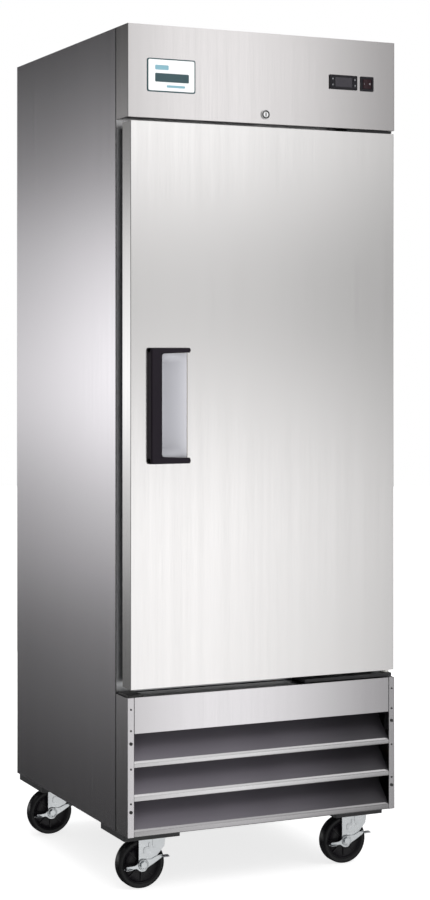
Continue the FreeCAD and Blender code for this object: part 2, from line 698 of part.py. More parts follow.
def compressor():
    """Sealed compressor: a domed can on feet."""
    centre = V(520, 520, 0)
    radius = 92.0
    base = PAN_TOP + 12
    can = rod(V(centre.x, centre.y, base + 8), Z_AXIS, 190, radius)
    can = can.makeFillet(44, [edge for edge in can.Edges if edge.BoundBox.ZMin > base + 190])
    seam = rod(V(centre.x, centre.y, base + 92), Z_AXIS, 8, radius + 4)
    feet = block(centre.x - 110, centre.x + 110, centre.y - 62, centre.y + 62, base, base + 8)
    body = joined([can, seam, feet])
    pads = []
    for dx in (-96, 96):
        for dy in (-48, 48):
            pads.append(rod(V(centre.x + dx, centre.y + dy, PAN_TOP), Z_AXIS, 12, 11))
    save("compressor", [body] + pads)


def refrigerant_lines():
    """Copper lines of the machine compartment and the filter drier."""
    line_r = 4.0
    bend = 22.0
    hot = pipe([V(428, 520, 300), V(380, 520, 300), V(380, 300, 300), V(380, 300, 420), V(435, 300, 420),
                V(435, 126, 420), V(415, 126, 420)], line_r, 9.0)
    suction = pipe([V(611, 540, 310), V(660, 540, 310), V(660, 540, LEDGE_Z + 0.5)], line_r + 2, bend)
    liquid = pipe([V(415, 126, 200), V(470, 126, 200), V(470, 330, 200)], line_r, bend)
    drier = rod(V(470, 330, 200), Y_AXIS, 90, 14)
    save("refrigerant_lines", [hot, suction, liquid, drier])


def condensate_pan():
    """Evaporation tray for the defrost water."""
    outer = block(60, 330, 560, 770, PAN_TOP, PAN_TOP + 60)
    inner = block(62, 328, 562, 768, PAN_TOP + 2, PAN_TOP + 61)
    save("condensate_pan", [outer.cut(inner)])


def electrical_box():
    box_body = rounded(block(500, 690, 110, 230, 330, 450), 4, Z_AXIS)
    lid = block(497, 693, 106, 110, 327, 453)
    hangers = [block(x, x + 16, 150, 190, 450, LEDGE_Z + 0.5) for x in (520, 654)]
    save("electrical_box", [joined([box_body, lid] + hangers)])


def power_gland():
    """Round gland in the rear cover, where the supply cord leaves."""
    y0 = DEPTH - 26
    x, z = GLAND
    body = joined([
        rod(V(x, y0, z), Y_AXIS, 26, 10),
        rod(V(x, DEPTH - 4.8, z), Y_AXIS, 4.8, 14),
        rod(V(x, DEPTH - 12, z), Y_AXIS, 6, 14),
    ])
    save("power_inlet_gland", [body.cut(rod(V(x, y0 - 1, z), Y_AXIS, 30, 4.5))])


# ---------------------------------------------------------------- casters

def caster_plates():
    """Top plate, ball race and king pin of each caster, fixed to the cabinet."""
    pieces = []
    for _name, axis in caster_places():
        plate = rounded(block(axis.x - 47, axis.x + 47, axis.y - 33, axis.y + 33, PLATE_Z, BLOCK_Z), 5, Z_AXIS)
        race = rod(V(axis.x, axis.y, CROWN_Z + 3.8), Z_AXIS, PLATE_Z - CROWN_Z - 3.8, 26)
        pin = rod(V(axis.x, axis.y, CROWN_Z - 2), Z_AXIS, 10, AXLE_R)
        head = rod(V(axis.x, axis.y, CROWN_Z - 2.4), Z_AXIS, 2.1, 8)
        pieces.append(joined([plate, race, pin, head]))
        for dx in (-38, 38):
            for dy in (-24, 24):
                pieces.append(rod(V(axis.x + dx, axis.y + dy, PLATE_Z - 5), Z_AXIS, 5, 6))
    save("caster_plates", pieces)


def fork(axis):
    """Swivel fork with its axle bolt; the legs reach to one side of the swivel axis."""
    axle_x = axis.x - TRAIL
    top = CROWN_Z + 3.5
    leg_outline = [(-11, top), (61, top), (57, 101), (40, 82), (15, 54), (7, 47), (-6, 47), (-11, 53)]
    points = [(axle_x + x, z) for x, z in leg_outline]
    half = LEG_IN + LEG_T
    legs = []
    for y0 in (-half, LEG_IN):
        leg = across_y(points, axis.y + y0, axis.y + y0 + LEG_T)
        legs.append(rounded(leg, 4, Y_AXIS, lambda edge: edge.Vertexes[0].Z < top - 1))
    crown = block(axle_x - 11, axle_x + 61, axis.y - half, axis.y + half, CROWN_Z, top)
    lip = rod(V(axis.x, axis.y, CROWN_Z), Z_AXIS, 3.5, 31)
    pin_hole = rod(V(axis.x, axis.y, CROWN_Z - 1), Z_AXIS, 8, AXLE_R + RUN)
    body = joined([crown, lip] + legs)
    axle_hole = rod(V(axle_x, axis.y - 40, WHEEL_R), Y_AXIS, 80, AXLE_R)
    body = without(body, [pin_hole, axle_hole])
    bolt = rod(V(axle_x, axis.y - half - 8, WHEEL_R), Y_AXIS, 2 * half + 14, AXLE_R)
    ends = []
    for y0 in (-half - 9, half):
        points = []
        for i in range(6):
            angle = math.radians(60 * i + 30)
            points.append((axle_x + 8.5 * math.cos(angle), WHEEL_R + 8.5 * math.sin(angle)))
        ends.append(across_y(points, axis.y + y0, axis.y + y0 + 5))
    return [body, joined([bolt] + ends)]


def wheel(axis):
    """Solid wheel: a moulded core in a tread band, on a plain bore."""
    centre = V(axis.x - TRAIL, axis.y, WHEEL_R)
    start = centre - Y_AXIS * WHEEL_W / 2
    tyre_inner = 47.0
    tyre = ring(start, Y_AXIS, WHEEL_W, WHEEL_R, tyre_inner)
    tyre = tyre.makeFillet(5, [edge for edge in tyre.Edges if edge.BoundBox.ZLength > 2 * WHEEL_R - 1
                               and edge.BoundBox.YLength < 1])
    web = rod(start + Y_AXIS * 4, Y_AXIS, WHEEL_W - 8, tyre_inner)
    boss = rod(start - Y_AXIS * 2, Y_AXIS, WHEEL_W + 4, 15)
    bore = rod(start - Y_AXIS * 3, Y_AXIS, WHEEL_W + 6, AXLE_R + RUN)
    core = joined([web, boss]).cut(bore)
    return [core, tyre]


def brake(axis):
    """Stamped brake lever on the axle bolt, with a foot tab at each end."""
    x = axis.x - TRAIL
    z = WHEEL_R
    back = axis.y - LEG_IN - LEG_T - 0.4
    front = back - 2.2
    arm_left = across_y([(x, z - 9), (x - 40, z - 7), (x - 40, z - 1), (x, z + 9)], front, back)
    arm_right = across_y([(x, z - 10), (x + 52, z + 14), (x + 50, z + 22), (x, z + 10)], front, back)
    disc = rod(V(x, front, z), Y_AXIS, back - front, 13)
    tab_left = block(x - 50, x - 30, front - 13, back, z - 7.5, z - 5)
    tab_right = block(x + 44, x + 64, front - 13, back, z + 17, z + 19.5)
    hole = rod(V(x, front - 1, z), Y_AXIS, 6, AXLE_R + RUN)
    washer = rod(V(x, front - 0.2, z), Y_AXIS, 0.2, 11)
    return [joined([arm_left, arm_right, disc, tab_left, tab_right, washer]).cut(hole)]


def casters():
    caster_plates()
    for name, axis in caster_places():
        save("fork_" + name, fork(axis))
        save("wheel_" + name, wheel(axis))
        save("brake_" + name, brake(axis))


def main():
    os.makedirs("parts", exist_ok=True)
    side_panels()
    back_and_top_panel()
    base_frame()
    insulation()
    inner_liner()
    header_cover()
    header_badge()
    controller()
    rocker_switch()
    door_lock()
    door_shell()
    door_foam()
    door_inner_liner()
    door_gasket()
    door_grip()
    handle_cup()
    hinges()
    grille_stiles()
    grille_top_plate()
    grille_blades()
    grille_fasteners()
    rear_grille()
    shelf_supports()
    wire_shelves()
    evaporator_fan = evaporator()
    condenser()
    fan_motors(evaporator_fan)
    compressor()
    refrigerant_lines()
    condensate_pan()
    electrical_box()
    power_gland()
    casters()


main()
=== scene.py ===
import json
import math

import bmesh
import bpy
from mathutils import Matrix, Vector

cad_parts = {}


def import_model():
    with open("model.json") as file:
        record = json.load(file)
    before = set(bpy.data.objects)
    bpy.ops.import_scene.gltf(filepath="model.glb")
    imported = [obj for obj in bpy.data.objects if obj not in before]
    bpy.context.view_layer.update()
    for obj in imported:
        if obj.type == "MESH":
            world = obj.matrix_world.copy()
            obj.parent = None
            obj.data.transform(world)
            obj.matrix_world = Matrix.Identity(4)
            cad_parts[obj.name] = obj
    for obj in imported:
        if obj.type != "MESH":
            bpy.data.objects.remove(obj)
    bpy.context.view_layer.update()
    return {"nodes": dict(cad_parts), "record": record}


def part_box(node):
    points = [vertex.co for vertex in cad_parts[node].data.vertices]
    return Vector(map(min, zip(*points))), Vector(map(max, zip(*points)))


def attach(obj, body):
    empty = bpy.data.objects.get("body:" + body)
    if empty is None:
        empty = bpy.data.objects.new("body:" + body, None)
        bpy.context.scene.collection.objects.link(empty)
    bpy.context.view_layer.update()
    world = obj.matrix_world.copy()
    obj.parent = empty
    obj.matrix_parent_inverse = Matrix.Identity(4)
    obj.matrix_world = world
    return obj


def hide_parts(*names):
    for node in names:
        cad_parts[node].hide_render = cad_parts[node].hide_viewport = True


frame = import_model()

MM = 0.001
STILE = 17.0
SIDES = ("front_left", "front_right", "rear_left", "rear_right")
HALF_WIDTH = (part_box("header_cover")[1].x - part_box("header_cover")[0].x) / 2


# ---------------------------------------------------------------- camera

def camera():
    """A long lens from the front left, level, with the picture shifted so that uprights stay upright."""
    data = bpy.data.cameras.new("camera")
    data.lens = 78.04
    data.sensor_width = 36.0
    data.shift_y = -0.1088
    data.clip_end = 200.0
    eye = bpy.data.objects.new("camera", data)
    eye.location = (-2.1344, -4.7096, 1.3127)
    eye.rotation_euler = (math.radians(90.0), 0.0, math.radians(-24.84))
    bpy.context.scene.collection.objects.link(eye)
    bpy.context.scene.camera = eye


# ---------------------------------------------------------------- shader nodes

class Nodes:
    """Adds nodes to a tree. An input is either a plain value or another node's socket."""

    def __init__(self, tree):
        self.tree = tree
        self.tree.nodes.clear()

    def add(self, kind, inputs=None, **settings):
        node = self.tree.nodes.new("ShaderNode" + kind)
        for name, value in settings.items():
            setattr(node, name, value)
        for name, value in (inputs or {}).items():
            socket = node.inputs[name]
            if isinstance(value, bpy.types.NodeSocket):
                self.tree.links.new(value, socket)
            else:
                socket.default_value = value
        return node

    def math(self, operation, a, b=0.0, c=0.0):
        return self.add("Math", {0: a, 1: b, 2: c}, operation=operation).outputs[0]

    def span(self, value, low, high, start=0.0, end=1.0, smooth=False):
        """value mapped from start..end to low..high."""
        kind = "SMOOTHSTEP" if smooth else "LINEAR"
        inputs = {"Value": value, "From Min": start, "From Max": end, "To Min": low, "To Max": high}
        return self.add("MapRange", inputs, interpolation_type=kind).outputs["Result"]

    def curve(self, value, points):
        """value through a smooth profile, given as (value, result) pairs in rising order."""
        low = points[0][0]
        high = points[-1][0]
        ramp = self.add("ValToRGB", {"Fac": self.span(value, 0.0, 1.0, low, high)})
        ramp.color_ramp.interpolation = "EASE"
        stops = ramp.color_ramp.elements
        for i, (place, result) in enumerate(points):
            spot = (place - low) / (high - low)
            if i < 2:
                stop = stops[i]
                stop.position = spot
            else:
                stop = stops.new(spot)
            stop.color = (result, result, result, 1.0)
        return ramp.outputs["Color"]

    def mix(self, fac, a, b, kind="MIX"):
        node = self.add("Mix", {"Factor": fac}, data_type="RGBA", blend_type=kind)
        for socket, value in ((node.inputs[6], a), (node.inputs[7], b)):
            if isinstance(value, bpy.types.NodeSocket):
                self.tree.links.new(value, socket)
            else:
                socket.default_value = (*value, 1.0)
        return node.outputs[2]

    def place(self, scale=(1.0, 1.0, 1.0), turn=(0.0, 0.0, 0.0)):
        """The piece's own coordinates in metres, scaled."""
        coords = self.add("TexCoord").outputs["Object"]
        return self.add("Mapping", {"Vector": coords, "Scale": scale, "Rotation": turn}).outputs["Vector"]

    def noise(self, scale, stretch=(1.0, 1.0, 1.0), detail=4.0, roughness=0.55, seed=0.0):
        inputs = {
            "Vector": self.place(stretch),
            "W": seed,
            "Scale": scale,
            "Detail": detail,
            "Roughness": roughness,
        }
        return self.add("TexNoise", inputs, noise_dimensions="4D").outputs["Fac"]

    def bump(self, height, distance, strength=1.0, under=None):
        inputs = {"Height": height, "Distance": distance, "Strength": strength}
        if under is not None:
            inputs["Normal"] = under
        return self.add("Bump", inputs).outputs["Normal"]

    def edge_wear(self, radius, low, high):
        """1 along outside edges, 0 on open faces."""
        bevel = self.add("Bevel", {"Radius": radius}, samples=4).outputs["Normal"]
        normal = self.add("NewGeometry").outputs["Normal"]
        dot = self.add("VectorMath", {0: bevel, 1: normal}, operation="DOT_PRODUCT").outputs["Value"]
        return self.span(dot, 1.0, 0.0, low, high)


def finish(name, build, **settings):
    """A material whose inputs come from build(nodes). The settings go straight on the shader's sockets."""
    material = bpy.data.materials.new(name)
    material.use_nodes = True
    nodes = Nodes(material.node_tree)
    shader = nodes.add("BsdfPrincipled", build(nodes))
    for socket, value in settings.items():
        shader.inputs[socket.replace("_", " ")].default_value = value
    nodes.add("OutputMaterial", {"Surface": shader.outputs["BSDF"]})
    return material


# ---------------------------------------------------------------- finishes

def brushed(tone, grain, rough, depth=0.00002, mottle=0.03, bow=0.0, seams_and_shade=()):
    """Sheet metal with a brushed grain. grain is the stretch of the noise: small along the grain.

    bow turns the shading, not the shape, outwards at the sheet's ends by this many radians.
    The dark bands are joints against its neighbours and, on the ledge under the door, a painted shade: each
    is an axis, the place along it and half a width.
    """
    def build(n):
        bulge = None
        if bow:
            square = n.add("VectorMath", {0: n.place((1.0, 1.0, 0.0)), 1: n.place()}, operation="DOT_PRODUCT")
            bulge = n.bump(n.math("MULTIPLY", square.outputs["Value"], -1.0), bow / (2 * HALF_WIDTH))
        fine = n.noise(900.0, grain, 3.0, 0.6)
        streaks = n.noise(60.0, grain, 5.0, 0.65, 3.0)
        cloud = n.noise(3.5, detail=3.0, seed=7.0)
        dark = tuple(c * (1.0 - mottle) for c in tone)
        light = tuple(min(1.0, c * (1.0 + mottle)) for c in tone)
        blend = n.math("ADD", n.math("MULTIPLY", streaks, 0.6), n.math("MULTIPLY", cloud, 0.4))
        colour = n.mix(n.span(blend, 0.0, 1.0, 0.3, 0.7), dark, light)
        # Each band darkens the colour: the joints, and on the ledge a painted shade under the door.
        for axis, spot, half in seams_and_shade:
            along = n.add("SeparateXYZ", {"Vector": n.place()}).outputs[axis]
            away = n.math("ABSOLUTE", n.math("SUBTRACT", along, spot))
            colour = n.mix(n.span(away, 1.0, 0.0, half * 0.6, half), colour, (0.02, 0.02, 0.022))
        return {
            "Base Color": colour,
            "Roughness": n.span(n.math("ADD", fine, streaks), rough - 0.035, rough + 0.035, 0.6, 1.4),
            "Normal": n.bump(n.math("ADD", fine, n.math("MULTIPLY", streaks, 0.5)), depth, 1.0, bulge),
        }
    return build


def spangled(tone, rough, size=45.0, depth=0.00003):
    """Zinc plate: soft crystals with a little stain."""
    def build(n):
        crystals = n.add("TexVoronoi", {"Vector": n.place(), "Scale": size}).outputs["Color"]
        grey = n.add("RGBToBW", {"Color": crystals}).outputs["Val"]
        stain = n.noise(14.0, detail=5.0, seed=2.0)
        fine = n.noise(500.0, detail=3.0)
        dark = tuple(c * 0.86 for c in tone)
        blend = n.math("ADD", n.math("MULTIPLY", grey, 0.4), n.math("MULTIPLY", stain, 0.6))
        return {
            "Base Color": n.mix(n.span(blend, 0.0, 1.0, 0.25, 0.75), dark, tone),
            "Roughness": n.span(blend, rough - 0.06, rough + 0.06, 0.25, 0.75),
            "Normal": n.bump(n.math("ADD", fine, grey), depth),
        }
    return build


def moulded(tone, rough, grain=1400.0, depth=0.00006, dust=0.05):
    """Moulded plastic with a fine spark-eroded texture, a little dust and rubbed edges."""
    def build(n):
        pits = n.noise(grain, detail=2.0, roughness=0.6)
        cloud = n.noise(22.0, detail=5.0, seed=4.0)
        worn = n.edge_wear(0.0008, 0.90, 0.995)
        pale = tuple(c + dust for c in tone)
        body = n.mix(n.span(cloud, 0.0, 0.5, 0.35, 0.75), tone, pale)
        rubbed = tuple(c * 1.25 + dust * 0.6 for c in tone)
        return {
            "Base Color": n.mix(n.math("MULTIPLY", worn, 0.35), body, rubbed),
            "Roughness": n.span(n.math("ADD", pits, cloud), rough - 0.07, rough + 0.07, 0.7, 1.3),
            "Normal": n.bump(pits, depth),
        }
    return build


def painted(tone, rough, chips=(0.35, 0.34, 0.33), shade=()):
    """Powder coat: orange peel, with bare metal at a few edges.

    shade is a fall of brightness painted across it, as pairs of a place along X and the brightness there.
    """
    def build(n):
        peel = n.noise(320.0, detail=2.0)
        cloud = n.noise(9.0, detail=4.0, seed=5.0)
        patchy = n.span(n.noise(60.0, seed=9.0), 0.0, 1.0, 0.5, 0.62)
        worn = n.math("MULTIPLY", n.edge_wear(0.001, 0.85, 0.99), patchy)
        light = tuple(min(1.0, c * 1.08 + 0.004) for c in tone)
        coat = n.mix(cloud, tone, light)
        if shade:
            across = n.add("SeparateXYZ", {"Vector": n.place()}).outputs["X"]
            coat = n.mix(1.0, coat, n.curve(across, shade), "MULTIPLY")
        return {
            "Base Color": n.mix(worn, coat, chips),
            "Roughness": n.span(cloud, rough - 0.05, rough + 0.05, 0.3, 0.7),
            "Normal": n.bump(peel, 0.00006),
        }
    return build


def rubbery(tone, rough, dust=(0.16, 0.155, 0.15)):
    """Rubber with a dry bloom and dust in its hollows."""
    def build(n):
        grain = n.noise(700.0, detail=4.0)
        bloom = n.noise(30.0, detail=6.0, roughness=0.65, seed=6.0)
        return {
            "Base Color": n.mix(n.span(bloom, 0.0, 0.45, 0.45, 0.8), tone, dust),
            "Roughness": n.span(bloom, rough - 0.08, rough + 0.08, 0.3, 0.7),
            "Normal": n.bump(grain, 0.00008),
        }
    return build


def foamed(n):
    cells = n.add("TexVoronoi", {"Vector": n.place(), "Scale": 700.0}).outputs["Distance"]
    cloud = n.noise(12.0, detail=4.0)
    return {
        "Base Color": n.mix(cloud, (0.78, 0.68, 0.42), (0.9, 0.83, 0.6)),
        "Roughness": n.span(cells, 0.75, 0.95),
        "Normal": n.bump(cells, 0.0006),
    }


def copper_tube(n):
    stain = n.noise(40.0, detail=6.0, seed=1.0)
    draw = n.noise(400.0, detail=2.0)
    return {
        "Base Color": n.mix(n.span(stain, 0.0, 1.0, 0.35, 0.7), (0.80, 0.42, 0.26), (0.42, 0.2, 0.12)),
        "Roughness": n.span(stain, 0.22, 0.5, 0.3, 0.7),
        "Normal": n.bump(draw, 0.00004),
    }


def clear_coat(tone, rough):
    """Smooth gloss plastic with faint waviness and fingerprints."""
    def build(n):
        prints = n.noise(70.0, detail=5.0, seed=8.0)
        wave = n.noise(18.0, detail=1.0)
        light = tuple(min(1.0, c * 1.05 + 0.006) for c in tone)
        return {
            "Base Color": n.mix(wave, tone, light),
            "Roughness": n.span(prints, rough, rough + 0.12, 0.45, 0.8),
            "Normal": n.bump(wave, 0.0001, 0.4),
        }
    return build


UPRIGHT = (1.0, 1.0, 0.012)     # grain that runs up and down
LEVEL = (0.012, 1.0, 1.0)       # grain that runs from side to side
ROUND = (1.0, 1.0, 1.0)         # no grain
BLADE_SHADE = ((-0.37, 1.25), (-0.1, 1.15), (0.05, 0.9), (0.28, 0.34), (0.37, 0.22))


def front_seams_and_shade():
    """Dark bands on the front: the side panel's fold, the stiles' inner edges and a painted shade on the
    ledge under the door.
    """
    low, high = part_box("header_cover")
    fold = ("Y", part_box("left_side_panel")[0].y, 0.0032)
    stiles = [("X", low.x + STILE * MM, 0.0011), ("X", high.x - STILE * MM, 0.0011)]
    # Painted shade: a dark band across the ledge, where the door above shades it.
    ledge = ("Y", low.y + 0.040, 0.037)
    return fold, stiles, ledge


def metals():
    fold, stiles, ledge = front_seams_and_shade()
    grille = (0.805, 0.785, 0.805)
    fine = 0.000004
    coarse = 0.000006
    return {
        "outer_steel": brushed((0.80, 0.79, 0.81), UPRIGHT, 0.22, coarse, 0.012),
        "outer_steel_back": spangled((0.62, 0.63, 0.64), 0.42),
        "door_steel": brushed((0.84, 0.825, 0.82), UPRIGHT, 0.16, fine, 0.007, bow=0.003),
        "header_steel": brushed((0.82, 0.795, 0.795), UPRIGHT, 0.19, fine, 0.02, bow=0.028, seams_and_shade=[fold]),
        "grille_steel": brushed(grille, UPRIGHT, 0.19, fine, 0.02, bow=0.036, seams_and_shade=[fold] + stiles),
        # The ledge's dark band is a painted shade under the door.
        "ledge_steel": brushed(grille, UPRIGHT, 0.19, fine, 0.02, bow=0.036, seams_and_shade=stiles + [ledge]),
        "side_steel": brushed((0.80, 0.775, 0.81), UPRIGHT, 0.2, coarse, 0.012, bow=0.022, seams_and_shade=[fold]),
        "level_steel": brushed((0.79, 0.78, 0.79), LEVEL, 0.23, coarse, bow=0.044),
        # A darker copy of level_steel for the lowest lip: painted shade.
        "foot_steel": brushed((0.52, 0.51, 0.52), LEVEL, 0.23, coarse, bow=0.044),
        "liner_steel": brushed((0.80, 0.81, 0.82), LEVEL, 0.34),
        "fin_aluminium": brushed((0.75, 0.76, 0.78), LEVEL, 0.35),
        "chrome": brushed((0.82, 0.82, 0.82), ROUND, 0.12, 0.00001),
        "zinc": spangled((0.72, 0.73, 0.74), 0.36),
        "caster_zinc": spangled((0.90, 0.93, 0.95), 0.30, 160.0),
        "copper": copper_tube,
    }


def dull_plastics():
    return {
        "black_plastic": moulded((0.010, 0.009, 0.012), 0.42, dust=0.01),
        "grey_keys": moulded((0.03, 0.03, 0.035), 0.5, dust=0.02),
        "red_plastic": moulded((0.022, 0.009, 0.012), 0.34, dust=0.004),
        "grip_plastic": moulded((0.010, 0.006, 0.012), 0.45, dust=0.004),
        "wheel_core": moulded((0.005, 0.004, 0.006), 0.3, dust=0.008),
        "wheel_rubber": rubbery((0.006, 0.006, 0.007), 0.3, (0.02, 0.02, 0.02)),
    }


def paints_and_plastics():
    return {
        "black_paint": painted((0.022, 0.022, 0.024), 0.45),
        "blade_steel": painted((0.13, 0.12, 0.14), 0.42, shade=BLADE_SHADE),
        "black_fasteners": painted((0.018, 0.018, 0.018), 0.4),
        "shelf_coating": painted((0.84, 0.85, 0.85), 0.35),
        "fin_black": painted((0.04, 0.04, 0.04), 0.5),
        "motor_paint": painted((0.10, 0.10, 0.11), 0.4),
        "compressor_paint": painted((0.022, 0.022, 0.026), 0.22),
        "foam": foamed,
        "badge_plate": clear_coat((0.88, 0.90, 0.90), 0.18),
        "badge_slate": clear_coat((0.035, 0.075, 0.085), 0.3),
        "badge_sky": clear_coat((0.22, 0.42, 0.50), 0.3),
        "smoked_window": clear_coat((0.020, 0.017, 0.024), 0.1),
        "lamp_cover": clear_coat((0.90, 0.90, 0.86), 0.25),
        "gasket_rubber": rubbery((0.022, 0.022, 0.026), 0.6, (0.07, 0.07, 0.075)),
        "cup_plastic": moulded((0.56, 0.56, 0.60), 0.5, dust=0.02),
        "nylon": moulded((0.82, 0.81, 0.76), 0.45),
        "nylon_black": moulded((0.03, 0.03, 0.03), 0.5),
        "white_plastic": moulded((0.80, 0.80, 0.77), 0.5),
        "pale_ink": moulded((0.42, 0.42, 0.44), 0.6, dust=0.02),
    }


def finishes():
    """A material for each slot of the record, and a few more for single pieces."""
    made = {}
    for builds, settings in (
        (metals(), {"Metallic": 1.0}),
        (dull_plastics(), {"Specular_IOR_Level": 0.3}),
        (paints_and_plastics(), {}),
    ):
        for name, build in builds.items():
            made[name] = finish(name, build, **settings)
    return made


# ---------------------------------------------------------------- CAD nodes

def node_slots():
    """Node name to slot name, from the record."""
    found = {}
    for part in frame["record"]["subparts"]:
        found[part["node"]] = part["material_slot"]
    return found


SHARP = ("inner_liner",)     # left as it comes, because softening put a black patch on its floor


def soften(node, width, angle=35.0):
    """Breaks the sharp edges of a CAD node with a small rounded bevel."""
    mesh = node.data
    for name in ("custom_normal", "sharp_face", "sharp_edge"):
        found = mesh.attributes.get(name)
        if found is not None:
            mesh.attributes.remove(found)
    mesh.shade_smooth()
    weld = node.modifiers.new("weld", "WELD")
    weld.merge_threshold = 0.00001
    flat = node.modifiers.new("flat", "DECIMATE")
    flat.decimate_type = "DISSOLVE"
    flat.angle_limit = math.radians(0.5)
    bevel = node.modifiers.new("edges", "BEVEL")
    bevel.width = width
    bevel.segments = 2
    bevel.limit_method = "ANGLE"
    bevel.angle_limit = math.radians(angle)
    bevel.harden_normals = True
    even = node.modifiers.new("even", "WEIGHTED_NORMAL")
    even.weight = 90
    even.keep_sharp = True


# Sheets that have a finish of their own in place of their slot's.
BOWED = {
    "header_cover": "header_steel",
    "grille_top_plate": "ledge_steel",
    "grille_side_stiles": "grille_steel",
    "left_side_panel": "side_steel",
    "right_side_panel": "side_steel",
}


def dress_nodes(materials):
    slots = node_slots()
    for name, node in frame["nodes"].items():
        node.data.materials.clear()
        node.data.materials.append(materials[BOWED.get(name, slots[name])])


# ---------------------------------------------------------------- mesh building

def corner_of_cabinet():
    """Floor level under the front left edge of the cabinet, from which the pieces below are measured."""
    return Vector((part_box("left_side_panel")[0].x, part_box("header_cover")[0].y, 0.0))


CORNER = corner_of_cabinet()


def at(x, y, z):
    """A place in the row frame, from millimetres right, back and up."""
    return CORNER + Vector((x, y, z)) * MM


def extent(node):
    """x0, x1, y0, y1, z0, z1 of a CAD node in millimetres from the cabinet's corner."""
    low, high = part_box(node)
    low = (low - CORNER) / MM
    high = (high - CORNER) / MM
    return low.x, high.x, low.y, high.y, low.z, high.z


def prism(form, outline, reach):
    """A closed solid from an outline of places, pushed along reach."""
    near = [form.verts.new(p) for p in outline]
    far = [form.verts.new(p + reach) for p in outline]
    form.faces.new(near)
    form.faces.new(far[::-1])
    for i in range(len(near)):
        j = (i + 1) % len(near)
        form.faces.new((near[j], near[i], far[i], far[j]))


def along_x(form, outline, x0, x1):
    """An outline of (y, z) pushed from x0 to x1."""
    prism(form, [at(x0, y, z) for y, z in outline], Vector((x1 - x0, 0, 0)) * MM)


def along_y(form, outline, y0, y1):
    """An outline of (x, z) pushed from y0 to y1."""
    prism(form, [at(x, y0, z) for x, z in outline], Vector((0, y1 - y0, 0)) * MM)


def slab(form, x0, x1, y0, y1, z0, z1):
    along_y(form, [(x0, z0), (x1, z0), (x1, z1), (x0, z1)], y0, y1)


def bent(points, radius, steps=5, closed=False):
    """The line through the points with its corners rounded."""
    line = []
    count = len(points)
    for i, point in enumerate(points):
        if not closed and i in (0, count - 1):
            line.append(tuple(point))
            continue
        here = Vector(point)
        before = Vector(points[i - 1]) - here
        after = Vector(points[(i + 1) % count]) - here
        reach = min(radius, before.length * 0.49, after.length * 0.49)
        start = here + before.normalized() * reach
        end = here + after.normalized() * reach
        for k in range(steps + 1):
            t = k / steps
            line.append(tuple(start * (1 - t) ** 2 + here * 2 * t * (1 - t) + end * t ** 2))
    return line


def thick(line, thickness):
    """The closed outline of a sheet whose middle follows the line."""
    left = []
    right = []
    for i, point in enumerate(line):
        before = Vector(line[max(0, i - 1)])
        after = Vector(line[min(len(line) - 1, i + 1)])
        way = (after - before).normalized()
        side = Vector((-way.y, way.x)) * thickness / 2
        left.append(tuple(Vector(point) + side))
        right.append(tuple(Vector(point) - side))
    return left + right[::-1]


def round_plate(x0, x1, z0, z1, radius):
    """The outline of an upright plate with rounded corners."""
    return bent([(x0, z0), (x1, z0), (x1, z1), (x0, z1)], radius, closed=True)


def lathe(form, profile, centre, steps=64):
    """Turns a closed outline of (radius, place along Y) round a line through centre along Y."""
    middle_x, middle_y, middle_z = centre
    rings = []
    for radius, along in profile:
        ring = []
        for k in range(steps):
            angle = 2 * math.pi * k / steps
            x = middle_x + radius * math.cos(angle)
            z = middle_z + radius * math.sin(angle)
            ring.append(form.verts.new(at(x, middle_y + along, z)))
        rings.append(ring)
    for a, b in list(zip(rings, rings[1:])) + [(rings[-1], rings[0])]:
        for k in range(steps):
            m = (k + 1) % steps
            form.faces.new((a[k], a[m], b[m], b[k]))


def swept_frame(form, outline, x0, x1, z0, z1):
    """An outline of (inset, y) carried round an upright rectangle, mitred at its corners."""
    rings = []
    for x, z, in_x, in_z in ((x0, z0, 1, 1), (x1, z0, -1, 1), (x1, z1, -1, -1), (x0, z1, 1, -1)):
        rings.append([form.verts.new(at(x + in_x * inset, y, z + in_z * inset)) for inset, y in outline])
    for i in range(4):
        a = rings[i]
        b = rings[(i + 1) % 4]
        for k in range(len(a)):
            m = (k + 1) % len(a)
            form.faces.new((a[k], a[m], b[m], b[k]))


def piece(name, form, body, slot, material=None, stands_for=(), bevel=0.0, angle=32.0):
    """Turns a form into an object that rides on a body, with a finish, and small rounded edges where a bevel
    width is given.
    """
    bmesh.ops.recalc_face_normals(form, faces=form.faces)
    mesh = bpy.data.meshes.new(name)
    form.to_mesh(mesh)
    form.free()
    mesh.materials.append(material or MATERIALS[slot])
    mesh.shade_smooth()
    mesh.set_sharp_from_angle(angle=math.radians(angle))
    made = bpy.data.objects.new(name, mesh)
    bpy.context.scene.collection.objects.link(made)
    if bevel:
        edges = made.modifiers.new("edges", "BEVEL")
        edges.width = bevel * MM
        edges.segments = 2
        edges.limit_method = "ANGLE"
        edges.angle_limit = math.radians(angle)
        edges.harden_normals = True
    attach(made, body)
    if stands_for:
        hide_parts(*stands_for)
    return made


# ---------------------------------------------------------------- grille

SHEET = 1.2
LIPS = ((316.0, 327.0), (235.0, 247.0), (150.0, 163.0))     # bottom and top of each lip's face
BLADE_BACK = 73.5
FOOT_BACK = 76.0


def blade_lip(low, high):
    """Side view of a lip: it turns back under its face, and leans back over it."""
    return bent([(8.0, low + 0.7), (0.7, low + 0.7), (0.7, high - 0.2), (5.5, high + 4.6)], 2.2)


def blade_face(high):
    """Side view of a blade's sheet: it rises to the back at 45 degrees and ends in a short fold down."""
    run = BLADE_BACK - 1.0
    return bent([(4.8, high + 3.9), (run, high + run - 0.9), (run - 0.5, high + run - 7.0)], 2.0)


